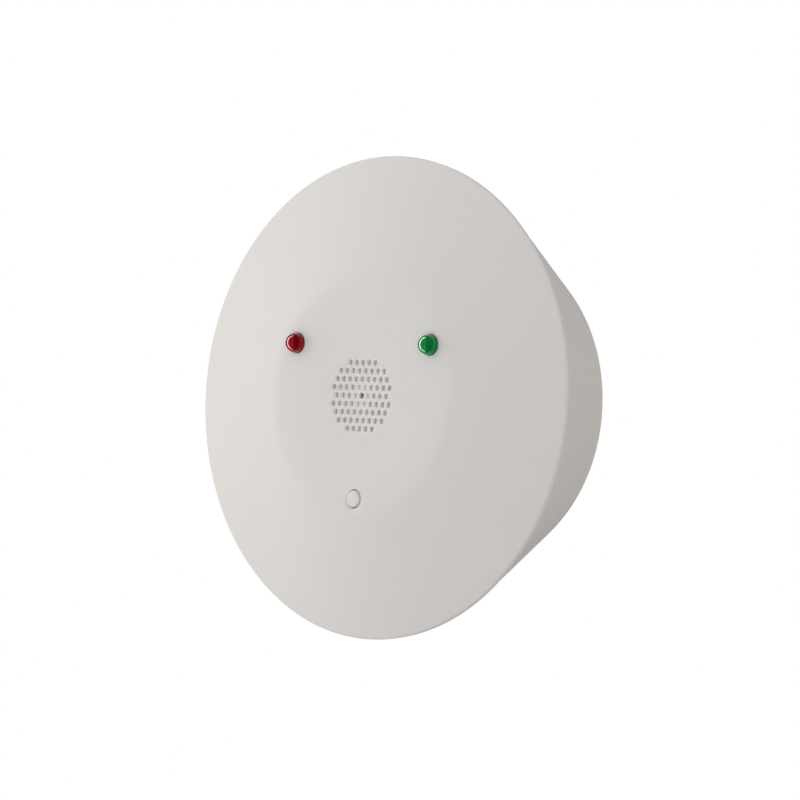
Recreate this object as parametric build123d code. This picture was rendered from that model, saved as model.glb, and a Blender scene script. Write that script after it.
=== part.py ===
from build123d import *

import os
from math import cos, radians, sin, sqrt, tan

# Wall-mounted alarm siren: a shallow front cover with a dished middle, a sounder grille, two
# indicator lamps and a test button, a tapered rear housing, and a wall plate that it twists on to.
#
# Frame: the origin is the centre of the wall plate's back face. The wall is the plane y = 0, the
# front of the siren faces -Y, +Z is up and +X is to the right as seen from the front. Lengths are
# in millimetres. Most features are placed by their depth, which is measured back from the centre
# of the front cover.

# Driving dimensions
COVER_R = 60.0  # outside radius of the front cover
DISH_R = 29.4  # radius of the dished middle of the cover
DISH = 0.9  # how far the edge of the dish stands in front of its centre
DOME_SLOPES = (0.150, 0.242)  # slope of the outer cover at the dish and at the rim
SKIRT_DRAFT = 0.1  # how much narrower the skirt is at the seam than at the rim
RIM_FILLET = 0.5  # rounding where the dome meets the skirt
SEAM_DEPTH = 6.7  # where the cover's skirt meets the rear housing
HOUSING_DEPTH = 46.2  # rear face of the rear housing
TOTAL_DEPTH = 47.2  # back of the wall plate, which touches the wall
TAPER_DEG = 26.4  # how far the flank of the rear housing leans in
HOUSING_RIM_R = 59.65  # outside radius of the rear housing at the seam
REAR_FILLET = 5.0
SEAM_GROOVE = 0.15  # small chamfer on the housing's rim, which leaves a fine groove at the seam
COVER_WALL = 2.0
BOSS_ROOT = 0.6  # posts and guides start at this depth, inside the cover's wall
HOUSING_WALL = 2.2
RUN_GAP = 0.3  # gap between parts that move past each other

# Features of the front cover
HOLE_PITCH = 2.04  # grille holes stand on a staggered grid of this pitch
HOLE_R = 0.7
GRILLE_REACH = 4.65  # grille holes lie within this many pitches of the centre
GRILLE_SKIN = 0.9  # thinner wall of the grille
SCREEN_THICK = 0.3  # white dust screen behind the grille
BLIND_DEPTH = 0.7  # depth of the holes that the centre boss backs
CENTRE_HOLE_R = 0.75
CENTRE_BOSS_R = 2.7
STATION_R = 25.5  # both lamps and the button stand on this circle
LAMP_ANGLES = {"red": 150, "green": 30}
BUTTON_ANGLE = 270
LAMP_HOLE_R = 2.65
BUTTON_HOLE_R = 2.45
NOTCH_PITCH_DEG = 0.81  # air notches in the top of the skirt
NOTCH_COUNT = 57
NOTCH_WIDTH = 0.45
NOTCH_HEIGHT = 0.95
RIB_INNER_R = 53.6  # six ribs inside the skirt reach into the housing
RIB_REACH = 3.0
BUTTON_GUIDE_WALL = 1.2
BUTTON_GUIDE_REAR = 7.0
LAMP_COLLAR_WALL = 1.3
LAMP_COLLAR_REAR = 3.4

# Lamps: round 5 mm light-emitting diodes
LAMP_R = 2.5
LAMP_PROUD = 1.5  # how far the middle of the dome stands in front of the cover's centre
LAMP_LENGTH = 8.6
LAMP_FLANGE_R = 2.9
LAMP_FLANGE = 1.0
LEAD_SIDE = 0.5
LEAD_SPACING = 2.54

# Circuit board and what holds it
BOARD_FRONT = 14.2
BOARD_THICK = 1.6
BOARD_REAR = BOARD_FRONT + BOARD_THICK
BOARD_R = 36.0
POST_R = 29.0  # circle of the three screws
POST_ANGLES = (90, 210, 330)
POST_OUTER_R = 3.3
SCREW_R = 1.15
SCREW_HEAD_R = 2.3
SCREW_HEAD = 2.0
SCREW_SEAT = BOARD_REAR + 2.0
SCREW_TIP = 8.0

# Small parts on the front of the board
CHIP_PLACE = (-21.2, -1.0)
COIL_PLACE = (21.2, -1.0)
CHIP_RING_R = 19.5  # chip resistors and capacitors stand on this circle
CAPACITOR_Z, CAPACITOR_R, CAPACITOR_HEIGHT = 21.5, 3.15, 7.5
CHIP_ANGLES = (50, 62, 74, 106, 118, 130, 218, 230, 242, 298, 310, 322)

# Sounder
SOUNDER_R = 15.0
SOUNDER_FRONT = 4.6
SOUNDER_WALL = 1.2
DIAPHRAGM_R = 13.5
DIAPHRAGM_DEPTH = 9.0
DIAPHRAGM_THICK = 0.3
CERAMIC_R = 9.5
CERAMIC_THICK = 0.25
SOUND_PORT_R = 2.0
GASKET_R = 5.0

# Test button and its switch
BUTTON_R = 2.1
BUTTON_ROUND = 0.5
BUTTON_PROUD = 1.3  # in front of the cover's centre, so 0.6 out of the dish round it
BUTTON_COLLAR_R = 3.1
BUTTON_TRAVEL = 0.5
SWITCH_SIDE = 6.0
SWITCH_HEIGHT = 3.5
PLUNGER_R = 1.7
PLUNGER_OUT = 1.1

# Tamper pin, which the wall plate holds pressed
TAMPER_Z = -21.0
TAMPER_PIN_R = 1.5
TAMPER_COLLAR_R = 2.3
TAMPER_GUIDE_R = 3.6
TAMPER_COLLAR_FRONT, TAMPER_COLLAR_REAR = 27.4, 28.9

# Battery, a 9 V block, and its pocket
BATTERY_LENGTH, BATTERY_HEIGHT, BATTERY_THICK = 48.5, 26.5, 17.5
BATTERY_RIGHT = 27.5
BATTERY_Z = 4.0
POCKET_HALF = 28.0
POCKET_HEIGHT = 28.0
POCKET_WALL = 1.5
RECESS_FLOOR = 40.2
POCKET_FRONT = RECESS_FLOOR - 18.5
STUD_SPACING = 12.7
STUD_HEIGHT = 2.4
HEADER_X = -32.0  # the battery leads go straight forward here, beside the pocket
LEAD_SPLIT = 1.6  # each lead stands this far above or below the battery's middle

# Wall plate and bayonet
RECESS_R = 34.5
PLATE_R = 34.1
PLATE_THICK = 2.2
HUB_R, HUB_INNER_R = 31.6, 28.6
HUB_HEIGHT = 4.0
LUG_R = 34.0
LUG_THICK = 1.9
TAB_INNER_R = 32.0
TAB_THICK = 1.5
LUG_SPAN, TAB_SPAN, STOP_SPAN = 18, 20, 3
BAYONET_ANGLES = (30, 150, 270)
SLOT_OFFSET = 20.0  # the two wall screw slots stand this far each side of the centre
SLOT_LENGTH, SLOT_WIDTH = 9.0, 4.5

PLATE_INNER = TOTAL_DEPTH - PLATE_THICK
HUB_FRONT = PLATE_INNER - HUB_HEIGHT


def y_at(depth):
    """The y of a depth measured back from the cover's centre."""
    return depth - TOTAL_DEPTH


def station(radius, angle):
    """The (x, z) of a point on a circle round the siren's axis, anticlockwise from +X."""
    return radius * cos(radians(angle)), radius * sin(radians(angle))


def spin(points):
    """A solid of revolution round Y from (radius, depth) points."""
    outline = Polyline(*[(r, y_at(d)) for r, d in points], close=True)
    return revolve(make_face(outline), Axis.Y)


def rod(x, z, radius, front, rear):
    """A cylinder along Y between two depths."""
    middle = Location((x, y_at((front + rear) / 2), z), (90, 0, 0))
    return middle * Cylinder(radius, abs(rear - front))


def block(x, z, width, height, front, rear):
    """A box centred on (x, z) between two depths."""
    return Pos(x, y_at((front + rear) / 2), z) * Box(width, abs(rear - front), height)


def turned(shape, angle):
    """The shape turned about the siren's axis, anticlockwise as seen from the front."""
    return shape.rotate(Axis((0, 0, 0), (0, -1, 0)), angle)


def arc_block(inner, outer, front, rear, angle, span):
    """A piece of a ring, span degrees wide and centred on angle."""
    ring = rod(0, 0, outer, front, rear) - rod(0, 0, inner, front - 1, rear + 1)
    half = radians(span / 2)
    reach = 2 * outer
    wedge_outline = Polyline(
        (0, 0), (reach * cos(half), -reach * sin(half)), (reach * cos(half), reach * sin(half)),
        close=True,
    )
    wedge = extrude(Plane.XZ.offset(-y_at(rear)) * make_face(wedge_outline), abs(rear - front))
    return ring & turned(wedge, angle)


def flank_radius(depth, inset=0.0):
    """Radius of the rear housing's flank at a depth, inset measured square to the flank."""
    return HOUSING_RIM_R - (depth - SEAM_DEPTH) * tan(radians(TAPER_DEG)) - inset / cos(radians(TAPER_DEG))


def dome_depth(radius, below=0.0):
    """Depth of the outer cover at a radius, from a slope that steepens evenly to the rim."""
    start, end = DOME_SLOPES
    run = radius - DISH_R
    return start * run + (end - start) * run**2 / (2 * (COVER_R - DISH_R)) - DISH + below


def dish_depth(radius, below=0.0):
    """Depth of the dished middle at a radius, deepest at the centre."""
    return below - DISH * (radius / DISH_R) ** 2


def profile_point(radius, depth):
    """A point of a turned outline."""
    return (radius, y_at(depth))


def face_arcs(end_r, below):
    """The outline of the cover's face from its centre: the dish, then the dome out to end_r."""
    spans = ((0, DISH_R, dish_depth), (DISH_R, end_r, dome_depth))
    return [
        ThreePointArc(*(profile_point(r, depth(r, below)) for r in (start, (start + end) / 2, end)))
        for start, end, depth in spans
    ]


def grille_points():
    """(x, z, rings) of each grille hole: a staggered square grid cut off at a circle."""
    rows = int(GRILLE_REACH)
    for row in range(-rows, rows + 1):
        shift = 0.5 if row % 2 else 0.0
        reach = sqrt(GRILLE_REACH**2 - row**2)
        count = int(reach - shift)
        for column in range(-count - int(2 * shift), count + 1):
            x = column + shift
            yield x * HOLE_PITCH, row * HOLE_PITCH, sqrt(x * x + row * row)


def cover_shell():
    """Dished middle, shallow dome, rounded rim and a short skirt, as one even wall."""
    inner_r = COVER_R - COVER_WALL
    skirt = Polyline(
        profile_point(COVER_R, dome_depth(COVER_R)),
        profile_point(COVER_R - SKIRT_DRAFT, SEAM_DEPTH),
        profile_point(inner_r, SEAM_DEPTH),
        profile_point(inner_r, dome_depth(inner_r, COVER_WALL)),
    )
    axis = Line(profile_point(0, 0), profile_point(0, COVER_WALL))
    face = make_face([*face_arcs(COVER_R, 0.0), skirt, *face_arcs(inner_r, COVER_WALL), axis])
    rim = face.vertices().sort_by_distance(profile_point(COVER_R, dome_depth(COVER_R)))[0]
    face = fillet(rim, RIM_FILLET)
    edge = face.vertices().sort_by_distance(profile_point(COVER_R - SKIRT_DRAFT, SEAM_DEPTH))[0]
    face = chamfer(edge, 0.2)
    return revolve(face, Axis.Y)


def locating_ribs():
    """Six ribs inside the skirt that centre the cover in the rear housing."""
    tip, clear = SEAM_DEPTH + RIB_REACH, 0.2
    root = dome_depth(54.0, COVER_WALL - 0.4)
    ring = spin([
        (RIB_INNER_R, root),
        (flank_radius(SEAM_DEPTH, HOUSING_WALL) - clear, dome_depth(56.0, COVER_WALL - 0.4)),
        (flank_radius(SEAM_DEPTH, HOUSING_WALL) - clear, SEAM_DEPTH),
        (flank_radius(tip, HOUSING_WALL) - clear, tip),
        (RIB_INNER_R, tip),
    ])
    return [ring & arc_block(50, 58, 3, 12, angle, 12) for angle in range(0, 360, 60)]


def front_cover():
    """The cover with its grille, lamp holes, button guide, screw posts and air notches."""
    body = cover_shell()
    for rib in locating_ribs():
        body += rib
    body -= rod(0, 0, (GRILLE_REACH + 1) * HOLE_PITCH, GRILLE_SKIN, COVER_WALL + 1)
    body += rod(0, 0, CENTRE_BOSS_R, BLIND_DEPTH, SOUNDER_FRONT - 1.0)
    bx, bz = station(STATION_R, BUTTON_ANGLE)
    body += rod(bx, bz, BUTTON_COLLAR_R + RUN_GAP + BUTTON_GUIDE_WALL, BOSS_ROOT, BUTTON_GUIDE_REAR)
    for angle in POST_ANGLES:
        px, pz = station(POST_R, angle)
        body += rod(px, pz, POST_OUTER_R, BOSS_ROOT, BOARD_FRONT)
    for angle in LAMP_ANGLES.values():
        lx, lz = station(STATION_R, angle)
        body += rod(lx, lz, LAMP_HOLE_R + LAMP_COLLAR_WALL, BOSS_ROOT, LAMP_COLLAR_REAR)
    cuts = []
    for x, z, rings in grille_points():
        blind = 0 < rings < 1.3
        radius = CENTRE_HOLE_R if rings == 0 else HOLE_R
        rear = BLIND_DEPTH if blind else SOUNDER_FRONT + 1
        cuts.append(rod(x, z, radius, -2, rear))
    for angle in POST_ANGLES:
        px, pz = station(POST_R, angle)
        cuts.append(rod(px, pz, SCREW_R + 0.05, SCREW_TIP - 1.0, BOARD_FRONT + 1))
    for angle in LAMP_ANGLES.values():
        lx, lz = station(STATION_R, angle)
        cuts.append(rod(lx, lz, LAMP_HOLE_R, -2, 4))
    cuts.append(rod(bx, bz, BUTTON_HOLE_R, -2, 4))
    cuts.append(rod(bx, bz, BUTTON_COLLAR_R + RUN_GAP, COVER_WALL, 8))
    notch = block(0, COVER_R - 0.5, NOTCH_WIDTH, 4, SEAM_DEPTH - NOTCH_HEIGHT, SEAM_DEPTH + 0.5)
    for step in range(NOTCH_COUNT):
        cuts.append(turned(notch, (step - (NOTCH_COUNT - 1) / 2) * NOTCH_PITCH_DEG))
    return body - cuts


def housing_shell():
    """Tapered bowl with a rounded rear edge and a round recess for the wall plate."""
    rear_r = flank_radius(HOUSING_DEPTH)
    outline = Polyline(
        (HOUSING_RIM_R, y_at(SEAM_DEPTH)),
        (rear_r, y_at(HOUSING_DEPTH)),
        (RECESS_R, y_at(HOUSING_DEPTH)),
        (RECESS_R, y_at(RECESS_FLOOR)),
        (0, y_at(RECESS_FLOOR)),
        (0, y_at(RECESS_FLOOR - 2)),
        (RECESS_R + 2, y_at(RECESS_FLOOR - 2)),
        (RECESS_R + 2, y_at(HOUSING_DEPTH - HOUSING_WALL)),
        (RECESS_R + 4.1, y_at(HOUSING_DEPTH - 3.0)),
        (flank_radius(41.0, HOUSING_WALL), y_at(41.0)),
        (flank_radius(SEAM_DEPTH, HOUSING_WALL), y_at(SEAM_DEPTH)),
        close=True,
    )
    face = make_face(outline)
    corner = face.vertices().sort_by_distance((rear_r, y_at(HOUSING_DEPTH)))[0]
    face = fillet(corner, REAR_FILLET)
    edge = face.vertices().sort_by_distance((RECESS_R, y_at(HOUSING_DEPTH)))[0]
    face = chamfer(edge, 0.4)
    rim = face.vertices().sort_by_distance((HOUSING_RIM_R, y_at(SEAM_DEPTH)))[0]
    face = chamfer(rim, SEAM_GROOVE)
    return revolve(face, Axis.Y)


def rear_housing():
    """The bowl with its battery pocket, screw wells, tamper pin guide and bayonet tabs."""
    body = housing_shell()
    body += block(
        0, BATTERY_Z, 2 * (POCKET_HALF + POCKET_WALL), POCKET_HEIGHT + 2 * POCKET_WALL,
        POCKET_FRONT - POCKET_WALL, RECESS_FLOOR - 1,
    )
    for angle in POST_ANGLES:
        px, pz = station(POST_R, angle)
        body += rod(px, pz, 4.4, BOARD_REAR, RECESS_FLOOR - 1)
    guide_front = BOARD_REAR + SWITCH_HEIGHT + 0.4
    body += rod(0, TAMPER_Z, TAMPER_GUIDE_R, guide_front, RECESS_FLOOR - 1)
    for angle in BAYONET_ANGLES:
        tab_front = HUB_FRONT + LUG_THICK + RUN_GAP
        body += arc_block(TAB_INNER_R, RECESS_R + 1, tab_front, tab_front + TAB_THICK, angle, TAB_SPAN)
        stop_angle = angle + LUG_SPAN / 2 + 0.5 + STOP_SPAN / 2
        body += arc_block(
            TAB_INNER_R, RECESS_R + 1, RECESS_FLOOR - 1, tab_front + TAB_THICK, stop_angle, STOP_SPAN
        )
    cuts = [block(0, BATTERY_Z, 2 * POCKET_HALF, POCKET_HEIGHT, POCKET_FRONT, RECESS_FLOOR + 1)]
    for angle in POST_ANGLES:
        px, pz = station(POST_R, angle)
        cuts.append(rod(px, pz, SCREW_R + 0.2, BOARD_REAR - 1, RECESS_FLOOR))
        cuts.append(rod(px, pz, SCREW_HEAD_R + 0.5, SCREW_SEAT, RECESS_FLOOR + 1))
    cuts.append(rod(0, TAMPER_Z, TAMPER_PIN_R + 0.1, 25, RECESS_FLOOR + 1))
    cuts.append(rod(0, TAMPER_Z, TAMPER_COLLAR_R + RUN_GAP, guide_front - 1, 30))
    cuts.append(block(-POCKET_HALF - 1, BATTERY_Z, 4, 8, POCKET_FRONT + 2, RECESS_FLOOR - 4))
    return body - cuts


def wall_plate():
    """Round plate with a hub ring, three bayonet lugs and two slots for wall screws."""
    plate = rod(0, 0, PLATE_R, PLATE_INNER, TOTAL_DEPTH)
    plate = chamfer(plate.edges().filter_by(GeomType.CIRCLE), 0.3)
    hub = rod(0, 0, HUB_R, HUB_FRONT, PLATE_INNER) - rod(0, 0, HUB_INNER_R, HUB_FRONT - 1, PLATE_INNER)
    body = plate + hub
    for angle in BAYONET_ANGLES:
        body += arc_block(HUB_R - 1, LUG_R, HUB_FRONT, HUB_FRONT + LUG_THICK, angle, LUG_SPAN)
    slot = SlotOverall(SLOT_LENGTH, SLOT_WIDTH)
    for x in (-SLOT_OFFSET, SLOT_OFFSET):
        body -= extrude(Plane.XZ.offset(1) * Pos(x, 0) * slot, -PLATE_THICK - 2, both=True)
    return body


def main_board():
    """Round circuit board with its screw holes."""
    board = rod(0, 0, BOARD_R, BOARD_FRONT, BOARD_REAR)
    holes = [rod(*station(POST_R, a), SCREW_R + 0.2, BOARD_FRONT - 1, BOARD_REAR + 1) for a in POST_ANGLES]
    return board - holes


def housing_screws():
    """Three pan-head screws that clamp the housing, the board and the cover together."""
    screws = []
    for angle in POST_ANGLES:
        x, z = station(POST_R, angle)
        head = rod(x, z, SCREW_HEAD_R, SCREW_SEAT, SCREW_SEAT + SCREW_HEAD)
        head = fillet(head.edges().sort_by(Axis.Y)[-1], 0.7)
        shank = rod(x, z, SCREW_R, SCREW_TIP, SCREW_SEAT)
        recess = SCREW_SEAT + SCREW_HEAD
        for width, height in ((2.6, 0.6), (0.6, 2.6)):
            head -= block(x, z, width, height, recess - 0.9, recess + 1)
        screws.append(head + shank)
    return Compound(screws)


def sounder_case():
    """Resonator cup in front of the diaphragm, with the sound port in its front wall."""
    seat = DIAPHRAGM_DEPTH
    cup = rod(0, 0, SOUNDER_R, SOUNDER_FRONT, BOARD_FRONT - 0.2)
    cup -= rod(0, 0, SOUND_PORT_R, SOUNDER_FRONT - 1, seat)
    cup -= rod(0, 0, DIAPHRAGM_R - 1.5, SOUNDER_FRONT + SOUNDER_WALL, seat + 1)
    cup -= rod(0, 0, DIAPHRAGM_R + 0.1, seat, BOARD_FRONT + 1)
    return cup


def sounder_back():
    """Ring that presses the diaphragm against its seat."""
    ring = rod(0, 0, DIAPHRAGM_R, DIAPHRAGM_DEPTH + DIAPHRAGM_THICK, BOARD_FRONT - 0.2)
    return ring - rod(0, 0, DIAPHRAGM_R - 1.6, 5, BOARD_FRONT + 1)


def sounder_pins():
    """Two spring contacts from the diaphragm to the board."""
    rear = DIAPHRAGM_DEPTH + DIAPHRAGM_THICK
    edge = rod(0, 10.7, 0.4, rear, BOARD_FRONT)
    centre = rod(0, 4.0, 0.4, rear + CERAMIC_THICK, BOARD_FRONT)
    return Compound([edge, centre])


def dust_screen():
    """White cloth ring glued behind the grille, round the centre boss."""
    outer = (GRILLE_REACH + 1) * HOLE_PITCH - 0.4
    ring = rod(0, 0, outer, GRILLE_SKIN, GRILLE_SKIN + SCREEN_THICK)
    return ring - rod(0, 0, CENTRE_BOSS_R + 0.2, GRILLE_SKIN - 1, GRILLE_SKIN + 1)


def sounder_gasket():
    """Foam ring that seals the cover's centre boss to the sounder's port."""
    ring = rod(0, 0, GASKET_R, SOUNDER_FRONT - 1.0, SOUNDER_FRONT)
    return ring - rod(0, 0, SOUND_PORT_R, 0, SOUNDER_FRONT + 1)


def lamp(x, z):
    """Round lamp: dome, straight body and a flange with one flat."""
    tip_rear = LAMP_LENGTH - LAMP_R - LAMP_PROUD
    body = rod(x, z, LAMP_R, -LAMP_PROUD, tip_rear)
    body += Pos(x, y_at(-LAMP_PROUD), z) * Sphere(LAMP_R)
    flange = rod(x, z, LAMP_FLANGE_R, tip_rear - LAMP_FLANGE, tip_rear)
    flange -= block(x + LAMP_R + 1, z, 2, 8, 0, 10)
    return body + flange


def lamp_leads(x, z):
    """The two square wires of a lamp, down to the board."""
    rear = LAMP_LENGTH - LAMP_R - LAMP_PROUD
    half = LEAD_SPACING / 2
    return Compound([block(x + s * half, z, LEAD_SIDE, LEAD_SIDE, rear, BOARD_FRONT) for s in (-1, 1)])


def lamp_spacer(x, z):
    """Black collar between a lamp's flange and the board."""
    front = LAMP_LENGTH - LAMP_R - LAMP_PROUD
    body = rod(x, z, LAMP_FLANGE_R, front, BOARD_FRONT)
    for side in (-1, 1):
        body -= block(x + side * LEAD_SPACING / 2, z, LEAD_SIDE + 0.3, LEAD_SIDE + 0.3, front - 1, 20)
    return body


def test_button():
    """Push button: rounded cap, retaining collar and a stem down to the switch."""
    x, z = station(STATION_R, BUTTON_ANGLE)
    collar_front = COVER_WALL + 0.1
    stem_rear = BOARD_FRONT - SWITCH_HEIGHT - PLUNGER_OUT
    cap = rod(x, z, BUTTON_R, -BUTTON_PROUD, collar_front + 1)
    cap = fillet(cap.edges().sort_by(Axis.Y)[0], BUTTON_ROUND)
    collar = rod(x, z, BUTTON_COLLAR_R, collar_front, collar_front + 1.5)
    return cap + collar + rod(x, z, 1.6, collar_front + 1, stem_rear)


def push_switch(x, z, board, outward):
    """Body of a 6 mm push switch on the board's face, open where its plunger goes in."""
    top = board + outward * SWITCH_HEIGHT
    body = block(x, z, SWITCH_SIDE, SWITCH_SIDE, board, top)
    body = chamfer(body.edges().filter_by(Axis.Y), 0.5)
    return body - rod(x, z, PLUNGER_R + 0.1, top - outward * 1.8, top + outward)


def switch_plunger(x, z, board, outward):
    """Round plunger that stands out of a push switch."""
    top = board + outward * SWITCH_HEIGHT
    return rod(x, z, PLUNGER_R, top - outward * 1.0, top + outward * PLUNGER_OUT)


def switch_terminals(x, z):
    """Four flat legs at the corners of the test switch."""
    legs = []
    for sx in (-1, 1):
        for sz in (-1, 1):
            legs.append(block(x + sx * 3.6, z + sz * 2.2, 1.2, 0.7, BOARD_FRONT - 0.4, BOARD_FRONT))
    return Compound(legs)


def tamper_pin():
    """Long pin that carries the wall plate's push to the tamper switch."""
    front = BOARD_REAR + SWITCH_HEIGHT + PLUNGER_OUT
    pin = rod(0, TAMPER_Z, TAMPER_PIN_R, front, PLATE_INNER - 0.1)
    pin = fillet(pin.edges().sort_by(Axis.Y)[-1], 0.6)
    return pin + rod(0, TAMPER_Z, TAMPER_COLLAR_R, TAMPER_COLLAR_FRONT, TAMPER_COLLAR_REAR)


def controller_chip():
    """Small-outline microcontroller on the front of the board."""
    body = block(*CHIP_PLACE, 6.0, 10.2, BOARD_FRONT - 2.2, BOARD_FRONT - 0.3)
    return chamfer(body.faces().sort_by(Axis.Y)[0].edges(), 0.3)


def controller_pins():
    """Eight flat pins down each side of the controller."""
    pins = []
    for side in (-1, 1):
        for row in range(8):
            x, z = CHIP_PLACE[0] + side * 3.7, CHIP_PLACE[1] + (row - 3.5) * 1.27
            pins.append(block(x, z, 1.4, 0.45, BOARD_FRONT - 0.5, BOARD_FRONT))
    return Compound(pins)


def storage_capacitor():
    """Upright electrolytic capacitor."""
    can = rod(0, CAPACITOR_Z, CAPACITOR_R, BOARD_FRONT - CAPACITOR_HEIGHT, BOARD_FRONT)
    return fillet(can.edges().sort_by(Axis.Y)[0], 0.5)


def drive_coil():
    """Drum-core coil that steps up the sounder's voltage."""
    front_flange = rod(*COIL_PLACE, 4.5, BOARD_FRONT - 6, BOARD_FRONT - 5)
    rear_flange = rod(*COIL_PLACE, 4.5, BOARD_FRONT - 1, BOARD_FRONT)
    return front_flange + rear_flange + rod(*COIL_PLACE, 2.0, BOARD_FRONT - 5, BOARD_FRONT - 1)


def coil_winding():
    """Copper winding between the coil's flanges."""
    winding = rod(*COIL_PLACE, 3.8, BOARD_FRONT - 5, BOARD_FRONT - 1)
    return winding - rod(*COIL_PLACE, 2.0, BOARD_FRONT - 6, BOARD_FRONT)


def chip_parts():
    """Chip resistors and capacitors in rows round the sounder."""
    parts = []
    for angle in CHIP_ANGLES:
        x, z = station(CHIP_RING_R, angle)
        parts.append(block(x, z, 1.6, 0.8, BOARD_FRONT - 0.55, BOARD_FRONT))
    return Compound(parts)


def battery():
    """9 V block battery, lying with its terminals to the left."""
    centre_x = BATTERY_RIGHT - BATTERY_LENGTH / 2
    front = POCKET_FRONT + 0.3
    case = block(centre_x, BATTERY_Z, BATTERY_LENGTH, BATTERY_HEIGHT, front, front + BATTERY_THICK)
    return fillet(case.edges().filter_by(Axis.X), 1.5)


def battery_axis_y():
    """The y of the battery's middle."""
    return y_at(POCKET_FRONT + 0.3 + BATTERY_THICK / 2)


def battery_studs():
    """Round and six-sided snap terminals on the end of the battery."""
    tip = BATTERY_RIGHT - BATTERY_LENGTH - STUD_HEIGHT
    above = Location((tip, battery_axis_y(), BATTERY_Z + STUD_SPACING / 2), (0, 90, 0))
    below = Location((tip, battery_axis_y(), BATTERY_Z - STUD_SPACING / 2), (0, 90, 0))
    round_stud = above * extrude(Circle(2.8), STUD_HEIGHT)
    hex_stud = below * extrude(RegularPolygon(4.2, 6), STUD_HEIGHT)
    return Compound([round_stud, hex_stud])


def snap_connector():
    """Flat plastic cap that presses on to the battery's terminals."""
    left = BATTERY_RIGHT - BATTERY_LENGTH - STUD_HEIGHT
    cap = Pos(left - 1.6, battery_axis_y(), BATTERY_Z) * Box(3.2, 12, 25.5)
    return fillet(cap.edges().filter_by(Axis.X), 3)


def lead_points(z):
    """Corners of a battery lead: out of the snap cap, through the pocket wall, to the board."""
    start = BATTERY_RIGHT - BATTERY_LENGTH - 5.6
    corner = (HEADER_X, battery_axis_y(), z)
    return [(start, battery_axis_y(), z), corner, (HEADER_X, y_at(BOARD_REAR + 3), z)]


def battery_lead(z):
    """One insulated battery lead, bent as gently as the room beside the pocket allows."""
    path = FilletPolyline(*lead_points(z), radius=2.3)
    section = Plane(path @ 0, z_dir=path % 0) * Circle(0.6)
    return sweep(section, path=path)


def lead_header():
    """Two-way connector on the back of the board that takes the battery leads."""
    body = block(HEADER_X, BATTERY_Z, 3.6, 7.6, BOARD_REAR, BOARD_REAR + 3)
    return chamfer(body.edges().filter_by(Axis.Y), 0.4)


BUTTON_X, BUTTON_Z = station(STATION_R, BUTTON_ANGLE)
LAMP_PLACES = {name: station(STATION_R, angle) for name, angle in LAMP_ANGLES.items()}

NODES = {
    "wall_plate": wall_plate(),
    "front_cover": front_cover(),
    "rear_housing": rear_housing(),
    "housing_screws": housing_screws(),
    "main_board": main_board(),
    "sounder_case": sounder_case(),
    "sounder_back": sounder_back(),
    "sounder_diaphragm": rod(0, 0, DIAPHRAGM_R, DIAPHRAGM_DEPTH, DIAPHRAGM_DEPTH + DIAPHRAGM_THICK),
    "sounder_ceramic": rod(
        0, 0, CERAMIC_R, DIAPHRAGM_DEPTH + DIAPHRAGM_THICK, DIAPHRAGM_DEPTH + DIAPHRAGM_THICK + CERAMIC_THICK
    ),
    "sounder_pins": sounder_pins(),
    "sounder_gasket": sounder_gasket(),
    "dust_screen": dust_screen(),
    "test_button": test_button(),
    "test_switch_body": push_switch(BUTTON_X, BUTTON_Z, BOARD_FRONT, -1),
    "test_switch_plunger": switch_plunger(BUTTON_X, BUTTON_Z, BOARD_FRONT, -1),
    "test_switch_terminals": switch_terminals(BUTTON_X, BUTTON_Z),
    "tamper_pin": tamper_pin(),
    "tamper_switch_body": push_switch(0, TAMPER_Z, BOARD_REAR, 1),
    "tamper_switch_plunger": switch_plunger(0, TAMPER_Z, BOARD_REAR, 1),
    "controller_chip": controller_chip(),
    "controller_pins": controller_pins(),
    "storage_capacitor": storage_capacitor(),
    "drive_coil": drive_coil(),
    "coil_winding": coil_winding(),
    "chip_parts": chip_parts(),
    "battery": battery(),
    "battery_studs": battery_studs(),
    "snap_connector": snap_connector(),
    "positive_lead": battery_lead(BATTERY_Z + LEAD_SPLIT),
    "negative_lead": battery_lead(BATTERY_Z - LEAD_SPLIT),
    "lead_header": lead_header(),
}
for lamp_name, (lamp_x, lamp_z) in LAMP_PLACES.items():
    NODES[f"{lamp_name}_lamp"] = lamp(lamp_x, lamp_z)
    NODES[f"{lamp_name}_lamp_leads"] = lamp_leads(lamp_x, lamp_z)
    NODES[f"{lamp_name}_lamp_spacer"] = lamp_spacer(lamp_x, lamp_z)

os.makedirs("parts", exist_ok=True)
for node, shape in NODES.items():
    export_step(shape, f"parts/{node}.step")
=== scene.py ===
"""Wall-mounted alarm siren: fine surfaces, finishes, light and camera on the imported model.

Depths are in millimetres behind the centre of the front cover, and radii are measured from the
siren's axis, which runs along Y. Every new surface is worked out with numpy.
"""

import math

import bpy
import numpy as np
from mathutils import Matrix, Vector
from mathutils.geometry import delaunay_2d_cdt


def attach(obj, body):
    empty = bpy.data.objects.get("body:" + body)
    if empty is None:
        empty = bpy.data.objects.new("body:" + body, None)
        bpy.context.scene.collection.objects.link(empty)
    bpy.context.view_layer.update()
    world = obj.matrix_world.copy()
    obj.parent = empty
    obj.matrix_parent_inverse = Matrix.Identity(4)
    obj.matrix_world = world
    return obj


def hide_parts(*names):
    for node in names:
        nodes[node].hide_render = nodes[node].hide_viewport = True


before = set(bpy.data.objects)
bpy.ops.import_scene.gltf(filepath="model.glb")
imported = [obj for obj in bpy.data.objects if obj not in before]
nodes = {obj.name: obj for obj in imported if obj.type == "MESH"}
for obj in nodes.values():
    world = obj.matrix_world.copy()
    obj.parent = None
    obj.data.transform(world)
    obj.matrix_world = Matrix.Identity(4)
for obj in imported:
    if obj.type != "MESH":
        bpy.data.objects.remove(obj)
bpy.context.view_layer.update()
MM = 0.001

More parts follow.
